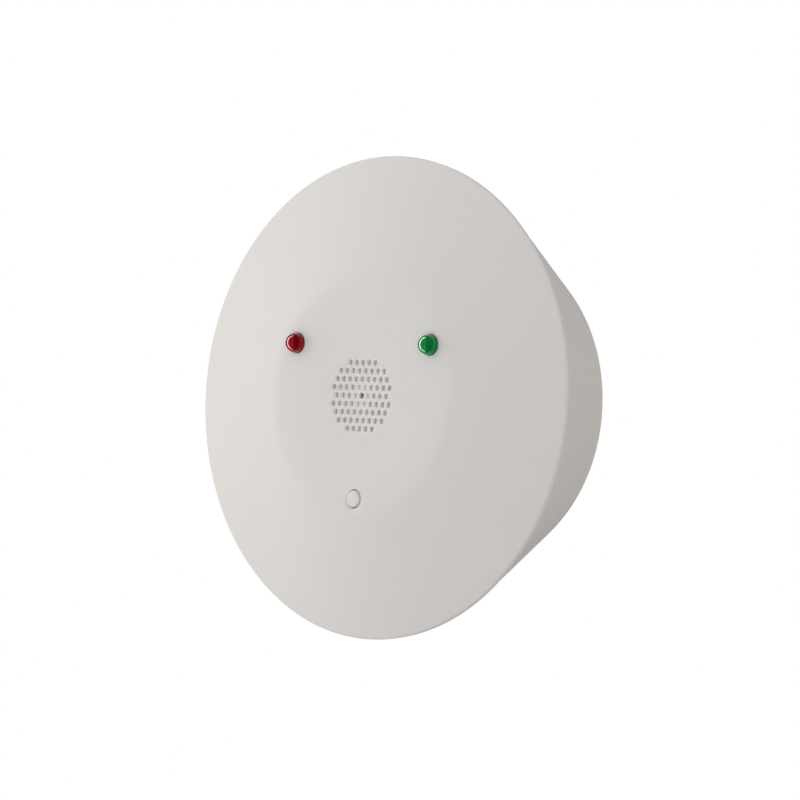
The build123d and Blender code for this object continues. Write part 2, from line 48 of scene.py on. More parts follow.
# Where the cover's centre is, and the same shapes as the CAD model's
CENTRE_Y = -47.2
DISH_R, DISH, DISH_TURN_R = 29.4, 0.9, 20.0
COVER_R, COVER_WALL = 59.96, 2.0
DOME_SLOPES = (0.150, 0.242)
CREASE, CREASE_LIFT = 0.9, 0.4
RIM_FILLET, SKIRT_DRAFT, SEAM_DEPTH = 0.5, 0.1, 6.7
HOLE_PITCH, HOLE_R, GRILLE_REACH, GRILLE_SKIN = 2.04, 0.7, 4.65, 0.9
BLIND_DEPTH, BLIND_RINGS, CENTRE_HOLE_R, BOSS_R, BOSS_DEPTH = 0.7, 1.3, 0.75, 2.7, 3.6
HOLE_EASE, LAMP_HOLE_EASE, BUTTON_HOLE_EASE = 0.10, 0.12, 0.15
NOTCH_CUT, SEAM_CHAMFER = 1.5, 0.2
NOTCH_PITCH, NOTCH_COUNT, NOTCH_WIDTH, NOTCH_HEIGHT = math.radians(0.81), 57, 0.45, 0.95
LAMP_R, LAMP_HOLE_R, BUTTON_R, BUTTON_HOLE_R = 2.5, 2.6, 2.1, 2.35
LAMP_PROUD, LAMP_TAIL, LAMP_FLANGE, LAMP_FLANGE_R = 1.49, 4.6, 1.0, 2.9
BUTTON_PROUD, BUTTON_ROUND, BUTTON_COLLAR_R, BUTTON_STEM_R = 1.3, 0.5, 3.1, 1.6
STATION_R, LAMP_ANGLES, BUTTON_ANGLE = 25.5, {"red": 150, "green": 30}, 270
BUTTON_CAP_REAR, BUTTON_COLLAR_REAR, BUTTON_STEM_REAR = 2.1, 3.6, 9.6
POST_R, POST_ANGLES, BOARD_FRONT = 29.0, (90, 210, 330), 14.2

# The tubes inside the cover: bore and outside radius, and how far back they reach
POST_BORE_R, POST_OUTER_R = 1.2, 3.3
LAMP_COLLAR_R, LAMP_COLLAR_REAR = 4.05, 3.4
BUTTON_GUIDE_BORE_R, BUTTON_GUIDE_R, BUTTON_GUIDE_REAR = 3.4, 4.6, 7.0

# Waves of the woven screen and of the coil's wire, in radians for each metre
THREAD_FREQUENCY, WIRE_FREQUENCY = 2 * math.pi / 0.0003, 2 * math.pi / 0.0002

# The room: how bright it is in front, behind and in mirrors, and its floor, in metres
ROOM_FRONT, ROOM_BACK, ROOM_MIRRORED = 0.775, 0.61, 0.05
FLOOR_Z, FLOOR_R = -0.25, 0.6


# ---------------------------------------------------------------- shapes


def station(radius, degrees):
    """(x, z) on a circle about the axis, anticlockwise from +X as seen from the front."""
    return radius * math.cos(math.radians(degrees)), radius * math.sin(math.radians(degrees))


def to_metres(x, depth, z):
    """Stacks x, depth and z in millimetres into points of the shared frame in metres."""
    return np.stack([x, depth + CENTRE_Y, z], axis=-1).reshape(-1, 3) * MM


def quads(rows, columns, close_columns=True, start=0):
    """Quads of a grid of rows by columns, numbered row by row, wrapped round if asked."""
    across = columns if close_columns else columns - 1
    r, c = np.meshgrid(np.arange(rows - 1), np.arange(across), indexing="ij")
    n = (c + 1) % columns
    return np.stack([r * columns + c, r * columns + n, (r + 1) * columns + n, (r + 1) * columns + c], -1
                    ).reshape(-1, 4) + start


def make_piece(name, points, faces, body, replaces=(), smooth=True):
    """A mesh object from whole arrays, riding on a body of the frame."""
    mesh = bpy.data.meshes.new(name)
    faces = [np.asarray(f, np.int32) for f in (faces if isinstance(faces, list) else [faces])]
    loops = np.concatenate([f.ravel() for f in faces])
    sizes = np.concatenate([np.full(len(f), f.shape[1], np.int32) for f in faces])
    starts = np.concatenate([[0], np.cumsum(sizes)[:-1]]).astype(np.int32)
    mesh.vertices.add(len(points))
    mesh.vertices.foreach_set("co", np.asarray(points, np.float32).ravel())
    mesh.loops.add(len(loops))
    mesh.loops.foreach_set("vertex_index", loops)
    mesh.polygons.add(len(sizes))
    mesh.polygons.foreach_set("loop_start", starts)
    mesh.polygons.foreach_set("loop_total", sizes)
    mesh.update(calc_edges=True)
    mesh.validate()
    mesh.polygons.foreach_set("use_smooth", np.full(len(sizes), smooth))
    piece = bpy.data.objects.new(name, mesh)
    bpy.context.scene.collection.objects.link(piece)
    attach(piece, body)
    if replaces:
        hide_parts(*replaces)
    return piece


def dome_depth(r, below=0.0):
    """Depth of the outer cover: the slope grows evenly from the dish's edge to the rim."""
    start, end = DOME_SLOPES
    run = r - DISH_R
    return start * run + (end - start) * run**2 / (2 * (COVER_R - DISH_R)) - DISH + below


def face_depth(r, below=0.0):
    """Depth of the cover's face: the dish is -DISH r^2 / (DISH_R turn) out to the radius where it turns,
    then DISH (DISH_R - r)^2 / (DISH_R (DISH_R - turn)) - DISH, level at its edge, and outside it is
    the dome. The crease between them is eased over CREASE either side."""
    hollow = -DISH * r**2 / (DISH_R * DISH_TURN_R)
    rounded = DISH * (DISH_R - r) ** 2 / (DISH_R * (DISH_R - DISH_TURN_R)) - DISH
    dish = below + np.where(r < DISH_TURN_R, hollow, rounded)
    dome = dome_depth(np.maximum(r, DISH_R - CREASE), below)
    t = np.clip((r - DISH_R + CREASE) / (2 * CREASE), 0, 1)
    ease = CREASE_LIFT * CREASE * (t * (1 - t)) ** 2
    return np.where(r < DISH_R, dish, dome) + ease


def grille_points():
    """(x, z, rings) of the grille holes: a staggered square grid cut off at a circle."""
    row, half = np.meshgrid(np.arange(-5, 6), np.arange(-12, 13), indexing="ij")
    column = half / 2.0
    fits = (np.abs(half % 2) == np.abs(row % 2)) & (np.hypot(row, column) <= GRILLE_REACH)
    return column[fits] * HOLE_PITCH, row[fits] * HOLE_PITCH, np.hypot(row, column)[fits]


def notch_angles():
    """Angles of the cover's grid lines, from the top: even ones, and four for each air notch."""
    half = math.asin(NOTCH_WIDTH / 2 / COVER_R)
    edge = 0.03 / COVER_R
    centres = (np.arange(NOTCH_COUNT) - (NOTCH_COUNT - 1) / 2) * NOTCH_PITCH
    lines = (centres[:, None] + np.array([-half - edge, -half, half, half + edge])).ravel()
    inside = np.tile([False, True, True, False], NOTCH_COUNT)
    reach = lines[-1] + 0.004
    rest = np.linspace(reach, 2 * math.pi - reach, 301)
    return np.concatenate([lines, rest]), np.concatenate([inside, np.zeros(len(rest), bool)])


def perforated(circles, rings, lattice, edge_angles, edge_r):
    """Triangles of a disc with round holes. circles are (x, z, r, points), rings are extra plain
    circles, lattice is the spacing of the points between, and the outer edge has given angles.
    Returns the points (x, z), the triangles and the index array of each hole's edge."""
    points, edges, holes, count = [], [], [], 0
    def add_ring(x, z, keep_edges=True):
        nonlocal count
        index = np.arange(count, count + len(x))
        points.append(np.stack([x, z], -1))
        if keep_edges:
            edges.append(np.stack([index, np.roll(index, -1)], -1))
        count += len(x)
        return index
    rim = add_ring(edge_r * np.sin(edge_angles), edge_r * np.cos(edge_angles))
    for x, z, r, n in circles:
        a = np.linspace(0, 2 * math.pi, n, endpoint=False)
        holes.append(add_ring(x + r * np.sin(a), z + r * np.cos(a)))
    for r in rings:
        a = np.linspace(0, 2 * math.pi, 160, endpoint=False)
        add_ring(r * np.sin(a), r * np.cos(a))
    steps = int(edge_r / lattice) + 2
    i, j = np.meshgrid(np.arange(-steps, steps + 1), np.arange(-steps, steps + 1))
    gx, gz = ((i + 0.5 * (j % 2)) * lattice).ravel(), (j * lattice * 0.866).ravel()
    keep = np.hypot(gx, gz) < edge_r - 0.6 * lattice
    for x, z, r, n in circles:
        keep &= np.hypot(gx - x, gz - z) > r + 0.35 * lattice
    for r in rings:
        keep &= np.abs(np.hypot(gx, gz) - r) > 0.4 * lattice
    add_ring(gx[keep], gz[keep], keep_edges=False)
    flat = np.concatenate(points)
    found = delaunay_2d_cdt([Vector(p) for p in flat], np.concatenate(edges).tolist(), [], 0, 1e-6)
    assert len(found[0]) == len(flat), "a ring crosses another"
    back = np.array([ids[0] for ids in found[3]])
    triangles = back[np.array(found[2])]
    middle = flat[triangles].mean(1)
    solid = np.ones(len(triangles), bool)
    for x, z, r, n in circles:
        solid &= np.hypot(middle[:, 0] - x, middle[:, 1] - z) > r * math.cos(math.pi / n) - 1e-6
    triangles = triangles[solid]
    a, b, c = (flat[triangles[:, k]] for k in range(3))
    turn = (b[:, 0] - a[:, 0]) * (c[:, 1] - a[:, 1]) - (b[:, 1] - a[:, 1]) * (c[:, 0] - a[:, 0])
    triangles[turn < 0] = triangles[turn < 0][:, ::-1]
    return flat, triangles, rim, holes


def inner_depth(r):
    """Depth of the cover's inner face: thin behind the grille, a boss at the middle."""
    wall = face_depth(r, COVER_WALL)
    return np.where(r < BOSS_R + 0.01, BOSS_DEPTH, np.where(r < 11.45, GRILLE_SKIN, wall))


def front_cover():
    """The cover as one closed shell: a triangulated middle with every hole, and a turned rim.

    The middle is a height field over the disc r < DISH_R, outside and inside. Each hole is a
    ring of its own, rounded over at the mouth by a quarter circle and joined straight down to the
    inner face, or to a flat floor where it is blind. The rim is a grid of angle by profile, whose
    radius steps in by NOTCH_CUT at the air notches."""
    angles, in_notch = notch_angles()
    columns = len(angles)
    gx, gz, rings = grille_points()
    blind = (rings > 0) & (rings < BLIND_RINGS)
    radius = np.where(rings == 0, CENTRE_HOLE_R, HOLE_R)
    stations = [(*station(STATION_R, a), LAMP_HOLE_R, LAMP_HOLE_EASE) for a in LAMP_ANGLES.values()]
    stations.append((*station(STATION_R, BUTTON_ANGLE), BUTTON_HOLE_R, BUTTON_HOLE_EASE))
    holes = [(x, z, r, HOLE_EASE, b) for x, z, r, b in zip(gx, gz, radius, blind)]
    holes += [(x, z, r, e, False) for x, z, r, e in stations]

    def outline(x, z, r, ease):
        return (x, z, r + ease, 64 if r > 2 else 28)

    outer_flat, outer_tri, outer_rim, outer_holes = perforated(
        [outline(x, z, r, e) for x, z, r, e, b in holes], [], 1.1, angles, DISH_R
    )
    through = [(x, z, r, e) for x, z, r, e, b in holes if not b]
    inner_flat, inner_tri, inner_rim, inner_holes = perforated(
        [outline(*h) for h in through], [BOSS_R, BOSS_R + 0.02, 11.4, 11.5], 2.0, angles, DISH_R
    )
    parts, faces, count = [], [], 0

    def add(points):
        nonlocal count
        parts.append(points)
        count += len(points)
        return count - len(points)

    r = np.hypot(*outer_flat.T)
    first = add(to_metres(outer_flat[:, 0], face_depth(r), outer_flat[:, 1]))
    faces.append(outer_tri + first)
    r = np.hypot(*inner_flat.T)
    second = add(to_metres(inner_flat[:, 0], inner_depth(r), inner_flat[:, 1]))
    faces.append(inner_tri[:, ::-1] + second)

    bridge = []
    inner_index = iter(inner_holes)
    for (x, z, r, ease, is_blind), ring in zip(holes, outer_holes):
        n = len(ring)
        a = np.linspace(0, 2 * math.pi, n, endpoint=False)
        surface = face_depth(math.hypot(x, z))
        turn = np.linspace(0, math.pi / 2, 5)[1:]
        steps_r = np.concatenate([r + ease * (1 - np.sin(turn)), [r]])
        bottom = BLIND_DEPTH if is_blind else None
        target = None if is_blind else next(inner_index)
        if not is_blind:
            inner = inner_depth(math.hypot(x, z)) if r < 2 else face_depth(STATION_R, COVER_WALL)
            bottom = inner - 0.05
        steps_d = np.concatenate([surface + ease * (1 - np.cos(turn)), [bottom]])
        px = x + np.outer(steps_r, np.sin(a))
        pz = z + np.outer(steps_r, np.cos(a))
        pd = np.repeat(steps_d[:, None], n, 1)
        start = add(to_metres(px, pd, pz))
        index = np.vstack([ring + first, start + np.arange(len(steps_r) * n).reshape(-1, n)])
        if is_blind:
            centre = add(to_metres(np.array([x]), np.array([bottom]), np.array([z])))
            last = index[-1]
            faces.append(np.stack([last, np.roll(last, -1), np.full(n, centre)], -1)[:, ::-1])
        else:
            index = np.vstack([index, target + second])
        a0, b0 = index[:-1], index[1:]
        bridge.append(np.stack([a0, b0, np.roll(b0, -1, 1), np.roll(a0, -1, 1)], -1).reshape(-1, 4))

    inner_r = COVER_R - COVER_WALL
    slope = math.atan(DOME_SLOPES[1])
    arc = np.linspace(slope, math.pi / 2, 7)
    dome_r = np.linspace(DISH_R, COVER_R - RIM_FILLET * (1 - math.sin(slope)), 26)[1:]
    arc_top = dome_depth(dome_r[-1])
    arc_r = dome_r[-1] + RIM_FILLET * (np.sin(arc) - math.sin(slope))
    arc_d = arc_top + RIM_FILLET * (math.cos(slope) - np.cos(arc))
    top = SEAM_DEPTH - NOTCH_HEIGHT
    rows_r = np.concatenate([dome_r, arc_r[1:], [COVER_R] * 4])
    skirt_d = [top - 0.03, top, SEAM_DEPTH - SEAM_CHAMFER, SEAM_DEPTH]
    rows_d = np.concatenate([face_depth(dome_r), arc_d[1:], skirt_d])
    cut = np.zeros(len(rows_r))
    cut[-3:] = NOTCH_CUT
    draft = SKIRT_DRAFT * np.clip((rows_d - arc_d[-1]) / (SEAM_DEPTH - arc_d[-1]), 0, 1)
    rows_r = rows_r - np.where(rows_d >= arc_d[-1], draft, 0)
    rows_r[-1] -= SEAM_CHAMFER
    back_r = np.concatenate([[inner_r], np.linspace(inner_r, DISH_R, 16)[:-1]])
    back_d = np.concatenate([[SEAM_DEPTH], face_depth(np.linspace(inner_r, DISH_R, 16)[:-1], COVER_WALL)])
    back_d[1] = min(back_d[1], SEAM_DEPTH - 0.05)
    all_r = np.concatenate([rows_r, back_r])
    all_d = np.concatenate([rows_d, back_d])
    all_cut = np.concatenate([cut, np.zeros(len(back_r))])
    grid_r = all_r[:, None] - np.outer(all_cut, in_notch)
    grid_d = np.repeat(all_d[:, None], columns, 1)
    start = add(to_metres(grid_r * np.sin(angles), grid_d, grid_r * np.cos(angles)))
    index = start + np.arange(grid_r.size).reshape(grid_r.shape)
    index = np.vstack([outer_rim + first, index, inner_rim + second])
    a0, b0 = index[:-1], index[1:]
    bridge.append(np.stack([a0, np.roll(a0, -1, 1), np.roll(b0, -1, 1), b0], -1).reshape(-1, 4))

    root = COVER_WALL - 0.2
    post = (POST_BORE_R, POST_OUTER_R, root, BOARD_FRONT)
    collar = (LAMP_HOLE_R, LAMP_COLLAR_R, root - 1.0, LAMP_COLLAR_REAR)
    guide = (BUTTON_GUIDE_BORE_R, BUTTON_GUIDE_R, root - 0.6, BUTTON_GUIDE_REAR)
    tubes = [(*station(POST_R, angle), *post) for angle in POST_ANGLES]
    tubes += [(*station(STATION_R, angle), *collar) for angle in LAMP_ANGLES.values()]
    tubes.append((*station(STATION_R, BUTTON_ANGLE), *guide))
    for x, z, inner, outer, front, rear in tubes:
        profile = [(inner, rear), (inner, front), (outer, front), (outer, rear)]
        points, walls = turned(profile, x, z, columns=48)
        bridge.append(np.concatenate(walls) + add(points))
    return np.concatenate(parts), [np.concatenate(faces), np.concatenate(bridge)]


def mark_grille_bores(mesh, slot):
    """Gives the walls of the grille holes another material slot, which holds a lighter copy of the cover
    plastic:
    painted light in place of the light that reaches into the holes. The walls are the faces over the grille,
    in front of its inner face, whose normals are square to the axis."""
    count = len(mesh.polygons)
    centre, normal = np.empty(count * 3), np.empty(count * 3)
    mesh.polygons.foreach_get("center", centre)
    mesh.polygons.foreach_get("normal", normal)
    x, y, z = centre.reshape(-1, 3).T / MM
    depth = y - CENTRE_Y
    walls = (np.hypot(x, z) < (GRILLE_REACH + 0.5) * HOLE_PITCH) & (np.abs(normal.reshape(-1, 3)[:, 1]) < 0.5)
    walls &= (depth > 0.05) & (depth < GRILLE_SKIN)
    mesh.polygons.foreach_set("material_index", np.where(walls, slot, 0).astype(np.int32))


def turned(profile, x=0.0, z=0.0, columns=96):
    """A closed surface of revolution about the line through (x, z) along Y. profile is a list of
    (radius, depth); a radius of zero at either end is a pole."""
    profile = np.array(profile, float)
    a = np.linspace(0, 2 * math.pi, columns, endpoint=False)
    r, d = profile[:, 0], profile[:, 1]
    body = (r > 1e-9).nonzero()[0]
    inside = slice(body[0], body[-1] + 1)
    gr, gd = r[inside], d[inside]
    depths = np.repeat(gd[:, None], columns, 1)
    points = to_metres(x + np.outer(gr, np.sin(a)), depths, z + np.outer(gr, np.cos(a)))
    faces = [quads(len(gr), columns)]
    ring = np.arange(columns)
    if body[0] > 0:
        pole = len(points)
        points = np.vstack([points, to_metres(np.array([x]), d[:1], np.array([z]))])
        faces.append(np.stack([np.full(columns, pole), np.roll(ring, -1), ring], -1))
    last = (len(gr) - 1) * columns
    if body[-1] < len(r) - 1:
        pole = len(points)
        points = np.vstack([points, to_metres(np.array([x]), d[-1:], np.array([z]))])
        faces.append(np.stack([ring + last, np.roll(ring, -1) + last, np.full(columns, pole)], -1))
    if body[0] == 0 and body[-1] == len(r) - 1:
        after = np.roll(ring, -1)
        faces[0] = np.vstack([faces[0], np.stack([ring + last, after + last, after, ring], -1)])
    return points, faces


def arc_points(centre_r, centre_d, radius, from_deg, to_deg, count):
    """(radius, depth) points on an arc. Zero degrees faces the front and 90 faces outwards."""
    a = np.radians(np.linspace(from_deg, to_deg, count))
    return list(zip(centre_r + radius * np.sin(a), centre_d - radius * np.cos(a)))


# ---------------------------------------------------------------- camera and light


def place_camera():
    """A long lens to the right of the siren's front and just below its middle."""
    azimuth, elevation, roll = math.radians(41.547), math.radians(-1.457), math.radians(3.132)
    back = Vector((
        math.sin(azimuth) * math.cos(elevation), -math.cos(azimuth) * math.cos(elevation), math.sin(elevation)
    ))
    right = (-back).cross(Vector((0, 0, 1))).normalized()
    up = right.cross(-back)
    across = math.cos(roll) * right + math.sin(roll) * up
    above = -math.sin(roll) * right + math.cos(roll) * up
    spot = Vector((0, CENTRE_Y, 0)) * MM + back * 690.48 * MM + across * 9.524 * MM - above * 1.047 * MM
    data = bpy.data.cameras.new("camera")
    data.sensor_width, data.lens = 36.0, 126.0
    data.clip_start, data.clip_end = 0.01, 20.0
    camera = bpy.data.objects.new("camera", data)
    bpy.context.scene.collection.objects.link(camera)
    camera.matrix_world = Matrix.Translation(spot) @ Matrix((across, above, back)).transposed().to_4x4()
    bpy.context.scene.camera = camera


def softbox(
    name, azimuth, elevation, distance, size, radiance, tint=(1, 1, 1), mirror_only=False, in_mirrors=True
):
    """A rectangular area light facing the middle of the cover. Azimuth is in degrees to the right
    of straight in front, size is (width, height) in metres, and radiance sets how bright its face
    looks: an even emitter of area A gives off pi A times its radiance. A mirror_only light shows
    in glossy surfaces but lights nothing, and one that isn't in_mirrors does the opposite."""
    a, e = math.radians(azimuth), math.radians(elevation)
    aim = Vector((0, CENTRE_Y * MM, 0))
    away = Vector((math.sin(a) * math.cos(e), -math.cos(a) * math.cos(e), math.sin(e)))
    data = bpy.data.lights.new(name, "AREA")
    data.shape, data.size, data.size_y = "RECTANGLE", size[0], size[1]
    data.energy = math.pi * size[0] * size[1] * radiance
    data.color = tint
    lamp = bpy.data.objects.new(name, data)
    bpy.context.scene.collection.objects.link(lamp)
    lamp.location = aim + away * distance
    lamp.rotation_euler = away.to_track_quat("Z", "Y").to_euler()
    lamp.visible_camera = False
    lamp.visible_diffuse = not mirror_only
    lamp.visible_glossy = in_mirrors


def light_the_studio():
    """A pale room that is dimmer behind the siren, with a white background and dark in mirrors,
    a weak near softbox at the front left, and strips for the lamps to reflect."""
    world = bpy.data.worlds.new("studio")
    bpy.context.scene.world = world
    world.use_nodes = True
    tree = world.node_tree
    tree.nodes.clear()
    out = tree.nodes.new("ShaderNodeOutputWorld")
    path = tree.nodes.new("ShaderNodeLightPath")
    direction = tree.nodes.new("ShaderNodeSeparateXYZ")
    tree.links.new(tree.nodes.new("ShaderNodeTexCoord").outputs["Generated"], direction.inputs[0])
    room = tree.nodes.new("ShaderNodeMapRange")
    tree.links.new(direction.outputs["Y"], room.inputs["Value"])
    limits = (("From Min", -0.5), ("From Max", 0.5), ("To Min", ROOM_FRONT), ("To Max", ROOM_BACK))
    for label, value in limits:
        room.inputs[label].default_value = value
    last = None
    for colour, strength, ray in (
        ((1.0, 1.0, 1.0, 1), room.outputs[0], None),
        ((1, 1, 1, 1), ROOM_MIRRORED, "Is Glossy Ray"),
        ((1, 1, 1, 1), 1.0, "Is Camera Ray"),
    ):
        shade = tree.nodes.new("ShaderNodeBackground")
        shade.inputs["Color"].default_value = colour
        if isinstance(strength, float):
            shade.inputs["Strength"].default_value = strength
        else:
            tree.links.new(strength, shade.inputs["Strength"])
        if last is None:
            last = shade.outputs[0]
            continue
        mix = tree.nodes.new("ShaderNodeMixShader")
        tree.links.new(path.outputs[ray], mix.inputs["Fac"])
        tree.links.new(last, mix.inputs[1])
        tree.links.new(shade.outputs[0], mix.inputs[2])
        last = mix.outputs[0]
    tree.links.new(last, out.inputs[0])
    softbox("key_softbox", -62, 2, 0.17, (0.08, 0.20), 1.15, tint=(1.0, 1.0, 0.84), in_mirrors=False)
    softbox("left_strip", -60, 0, 0.26, (0.06, 1.8), 16.0, mirror_only=True)
    softbox("soft_band", -24, 0, 0.30, (0.10, 1.4), 1.1, mirror_only=True)
    softbox("thin_strip", 8, 0, 0.50, (0.02, 1.8), 8.0, mirror_only=True)
    bpy.context.scene.view_settings.view_transform = "Standard"


def studio_floor():
    """A round pale floor well below the siren, which stands off it on its wall."""
    a = np.linspace(0, 2 * math.pi, 64, endpoint=False)
    mesh = bpy.data.meshes.new("floor")
    ring = np.stack([FLOOR_R * np.cos(a), FLOOR_R * np.sin(a), np.full(64, FLOOR_Z)], -1)
    mesh.from_pydata(ring.tolist(), [], [list(range(64))])
    floor = bpy.data.objects.new("floor", mesh)
    bpy.context.scene.collection.objects.link(floor)
    floor.visible_glossy = False
    return floor


# ---------------------------------------------------------------- finishes


def shader_group(name, inputs, outputs):
    """An empty node group with named sockets, and its input and output nodes."""
    group = bpy.data.node_groups.new(name, "ShaderNodeTree")
    for label, kind, value in inputs:
        socket = group.interface.new_socket(name=label, in_out="INPUT", socket_type=kind)
        socket.default_value = value
    for label, kind in outputs:
        group.interface.new_socket(name=label, in_out="OUTPUT", socket_type=kind)
    return group, group.nodes.new("NodeGroupInput"), group.nodes.new("NodeGroupOutput")


def maths(tree, operation, *values):
    """A Math node on sockets or numbers."""
    node = tree.nodes.new("ShaderNodeMath")
    node.operation = operation
    for socket, value in zip(node.inputs, values):
        if isinstance(value, (int, float)):
            socket.default_value = value
        else:
            tree.links.new(value, socket)
    return node.outputs[0]


def noise(tree, vector, scale, detail=2.0, rough=0.5):
    """A Noise Texture's value on a vector, with a scale given as a number or a socket."""
    node = tree.nodes.new("ShaderNodeTexNoise")
    tree.links.new(vector, node.inputs["Vector"])
    if isinstance(scale, (int, float)):
        node.inputs["Scale"].default_value = scale
    else:
        tree.links.new(scale, node.inputs["Scale"])
    node.inputs["Detail"].default_value = detail
    node.inputs["Roughness"].default_value = rough
    return node.outputs[0]


def moulded_skin_group():
    """Moulded plastic: a fine spark-eroded grain, slow flow mottling and rubbed edges.

    Colour is the base colour times 1 + mottle, lightened where edges are rubbed. Roughness is
    the base value plus grain and mottle. Normal is a bump of grain over a slow waviness."""
    group, source, sink = shader_group(
        "moulded_skin",
        [
            ("Colour", "NodeSocketColor", (0.8, 0.8, 0.8, 1)),
            ("Rubbed Colour", "NodeSocketColor", (0.85, 0.84, 0.82, 1)),
            ("Roughness", "NodeSocketFloat", 0.5),
            ("Grain Scale", "NodeSocketFloat", 4500.0),
            ("Grain Depth", "NodeSocketFloat", 0.1),
            ("Mottle", "NodeSocketFloat", 0.02),
        ],
        [("Colour", "NodeSocketColor"), ("Roughness", "NodeSocketFloat"), ("Normal", "NodeSocketVector")],
    )
    links = group.links
    where = group.nodes.new("ShaderNodeTexCoord").outputs["Object"]
    grain = noise(group, where, source.outputs["Grain Scale"], 3.0, 0.6)
    flow = noise(group, where, 42.0, 3.0, 0.55)
    bevel = group.nodes.new("ShaderNodeBevel")
    bevel.samples = 4
    bevel.inputs["Radius"].default_value = 0.00025
    plain = group.nodes.new("ShaderNodeNewGeometry")
    dot = group.nodes.new("ShaderNodeVectorMath")
    dot.operation = "DOT_PRODUCT"
    links.new(bevel.outputs[0], dot.inputs[0])
    links.new(plain.outputs["Normal"], dot.inputs[1])
    edge = maths(group, "SUBTRACT", 1.0, dot.outputs["Value"])
    rub = maths(group, "MULTIPLY", edge, maths(group, "ADD", 0.6, flow))
    rub = maths(group, "MINIMUM", maths(group, "MULTIPLY", rub, 2.0), 0.6)
    mottle = maths(group, "MULTIPLY", maths(group, "SUBTRACT", flow, 0.5), source.outputs["Mottle"])
    shade = group.nodes.new("ShaderNodeVectorMath")
    shade.operation = "SCALE"
    links.new(source.outputs["Colour"], shade.inputs[0])
    links.new(maths(group, "ADD", 1.0, mottle), shade.inputs["Scale"])
    mix = group.nodes.new("ShaderNodeMix")
    mix.data_type = "RGBA"
    links.new(rub, mix.inputs["Factor"])
    links.new(shade.outputs[0], mix.inputs["A"])
    links.new(source.outputs["Rubbed Colour"], mix.inputs["B"])
    links.new(mix.outputs["Result"], sink.inputs["Colour"])
    rough = maths(group, "ADD", source.outputs["Roughness"], maths(group, "MULTIPLY", mottle, 2.0))
    rough = maths(group, "ADD", rough, maths(group, "MULTIPLY", maths(group, "SUBTRACT", grain, 0.5), 0.10))
    links.new(rough, sink.inputs["Roughness"])
    bump = group.nodes.new("ShaderNodeBump")
    bump.inputs["Distance"].default_value = 0.00002
    links.new(source.outputs["Grain Depth"], bump.inputs["Strength"])
    links.new(maths(group, "ADD", grain, maths(group, "MULTIPLY", flow, 3.0)), bump.inputs["Height"])
    links.new(bump.outputs[0], sink.inputs["Normal"])
    return group


def plain_material(name):
    """A material with a Principled shader, its tree and the shader node."""
    material = bpy.data.materials.new(name)
    material.use_nodes = True
    tree = material.node_tree
    return material, tree, tree.nodes["Principled BSDF"]


def moulded_plastic(
    name, skin, colour, rubbed, roughness, grain=4500.0, depth=0.1, mottle=0.03, subsurface=0.0
):
    """Moulded plastic with the shared skin."""
    material, tree, shader = plain_material(name)
    group = tree.nodes.new("ShaderNodeGroup")
    group.node_tree = skin
    group.inputs["Colour"].default_value = (*colour, 1)
    group.inputs["Rubbed Colour"].default_value = (*rubbed, 1)
    group.inputs["Roughness"].default_value = roughness
    group.inputs["Grain Scale"].default_value = grain
    group.inputs["Grain Depth"].default_value = depth
    group.inputs["Mottle"].default_value = mottle
    tree.links.new(group.outputs["Colour"], shader.inputs["Base Color"])
    tree.links.new(group.outputs["Roughness"], shader.inputs["Roughness"])
    tree.links.new(group.outputs["Normal"], shader.inputs["Normal"])
    shader.inputs["Specular IOR Level"].default_value = 0.08
    if subsurface:
        shader.inputs["Subsurface Weight"].default_value = subsurface
        shader.inputs["Subsurface Radius"].default_value = (1.0, 0.8, 0.6)
        shader.inputs["Subsurface Scale"].default_value = 0.0012
    return material


def lamp_resin(name, colour, deep, mirror):
    """Tinted clear epoxy of an indicator lamp: its mirror is the resin's own colour, under a clear
    outer skin with a few fine ripples."""
    material, tree, shader = plain_material(name)
    where = tree.nodes.new("ShaderNodeTexCoord").outputs["Object"]
    ripple = noise(tree, where, 900.0, 2.0, 0.5)
    cloud = noise(tree, where, 260.0, 1.0, 0.4)
    tint = tree.nodes.new("ShaderNodeMix")
    tint.data_type = "RGBA"
    tint.inputs["A"].default_value = (*colour, 1)
    tint.inputs["B"].default_value = (*deep, 1)
    tree.links.new(cloud, tint.inputs["Factor"])
    tree.links.new(tint.outputs["Result"], shader.inputs["Base Color"])
    bump = tree.nodes.new("ShaderNodeBump")
    bump.inputs["Distance"].default_value = 0.00002
    bump.inputs["Strength"].default_value = 0.12
    tree.links.new(ripple, bump.inputs["Height"])
    tree.links.new(bump.outputs[0], shader.inputs["Normal"])
    rough = maths(tree, "ADD", 0.05, maths(tree, "MULTIPLY", ripple, 0.06))
    tree.links.new(rough, shader.inputs["Roughness"])
    shader.inputs["IOR"].default_value = 1.6
    shader.inputs["Specular IOR Level"].default_value = 0.8
    shader.inputs["Specular Tint"].default_value = (*mirror, 1)
    shader.inputs["Coat Weight"].default_value = 0.5
    shader.inputs["Coat IOR"].default_value = 1.4
    shader.inputs["Coat Roughness"].default_value = 0.02
    return material


